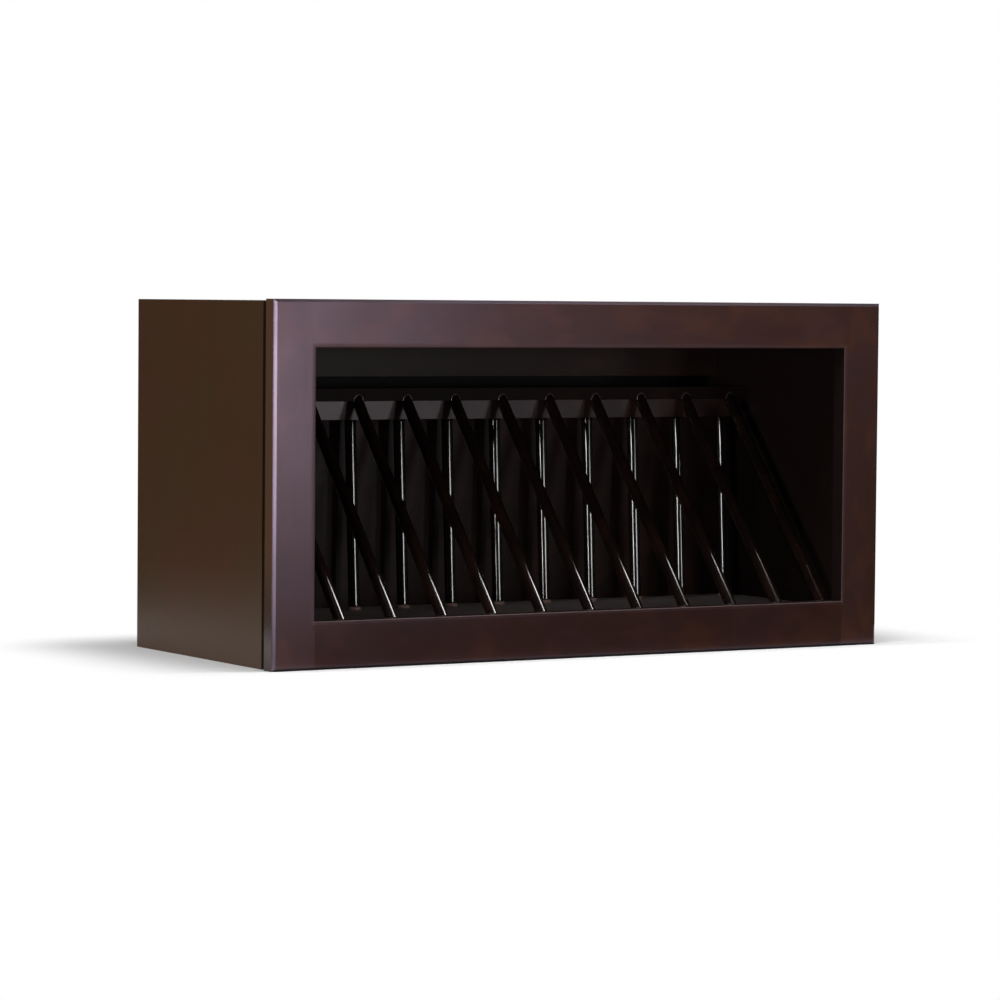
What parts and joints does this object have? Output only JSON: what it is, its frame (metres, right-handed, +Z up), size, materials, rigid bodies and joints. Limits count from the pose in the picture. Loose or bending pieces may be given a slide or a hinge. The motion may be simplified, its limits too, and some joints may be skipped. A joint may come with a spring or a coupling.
{
  "type": "wall dish rack cabinet",
  "caption": "Open-fronted wall cabinet with a face frame and a fixed rack of upright and slanted dowels that holds plates on edge.",
  "frame": {"origin": "on the plane of the cabinet's lower edges, at the middle of its width and of its depth", "axes": "+X along the width to the right as seen from the front, +Y from the front to the wall, +Z up"},
  "size_m": [0.762, 0.324, 0.381],
  "materials": {
    "frame_lacquer": "dark espresso lacquer on hardwood, satin gloss",
    "case_lacquer": "dark brown lacquer on veneered plywood, satin gloss",
    "sheet_lacquer": "dark brown stain on thin plywood, dull",
    "rack_lacquer": "dark espresso lacquer on hardwood boards, satin gloss",
    "dowel_lacquer": "dark espresso lacquer on turned dowels, gloss",
    "screw_steel": "zinc-plated steel",
    "staple_steel": "galvanised steel wire"
  },
  "bodies": {
    "root": {"left_stile": "frame_lacquer", "right_stile": "frame_lacquer", "top_frame_rail": "frame_lacquer", "bottom_frame_rail": "frame_lacquer", "left_side_panel": "case_lacquer", "right_side_panel": "case_lacquer", "top_panel": "case_lacquer", "bottom_panel": "case_lacquer", "upper_hanging_rail": "case_lacquer", "lower_hanging_rail": "case_lacquer", "rear_sheet": "sheet_lacquer", "rack_base_board": "rack_lacquer", "rack_back_panel": "rack_lacquer", "rack_top_rail": "rack_lacquer", "rack_apron": "rack_lacquer", "upright_dowel_01": "dowel_lacquer", "slanted_dowel_01": "dowel_lacquer", "upright_dowel_02": "dowel_lacquer", "slanted_dowel_02": "dowel_lacquer", "upright_dowel_03": "dowel_lacquer", "slanted_dowel_03": "dowel_lacquer", "upright_dowel_04": "dowel_lacquer", "slanted_dowel_04": "dowel_lacquer", "upright_dowel_05": "dowel_lacquer", "slanted_dowel_05": "dowel_lacquer", "upright_dowel_06": "dowel_lacquer", "slanted_dowel_06": "dowel_lacquer", "upright_dowel_07": "dowel_lacquer", "slanted_dowel_07": "dowel_lacquer", "upright_dowel_08": "dowel_lacquer", "slanted_dowel_08": "dowel_lacquer", "upright_dowel_09": "dowel_lacquer", "slanted_dowel_09": "dowel_lacquer", "upright_dowel_10": "dowel_lacquer", "slanted_dowel_10": "dowel_lacquer", "upright_dowel_11": "dowel_lacquer", "slanted_dowel_11": "dowel_lacquer", "upright_dowel_12": "dowel_lacquer", "slanted_dowel_12": "dowel_lacquer", "frame_pocket_screws": "screw_steel", "hanging_rail_screws": "screw_steel", "rack_screws": "screw_steel", "rear_sheet_staples": "staple_steel"}
  },
  "joints": []
}
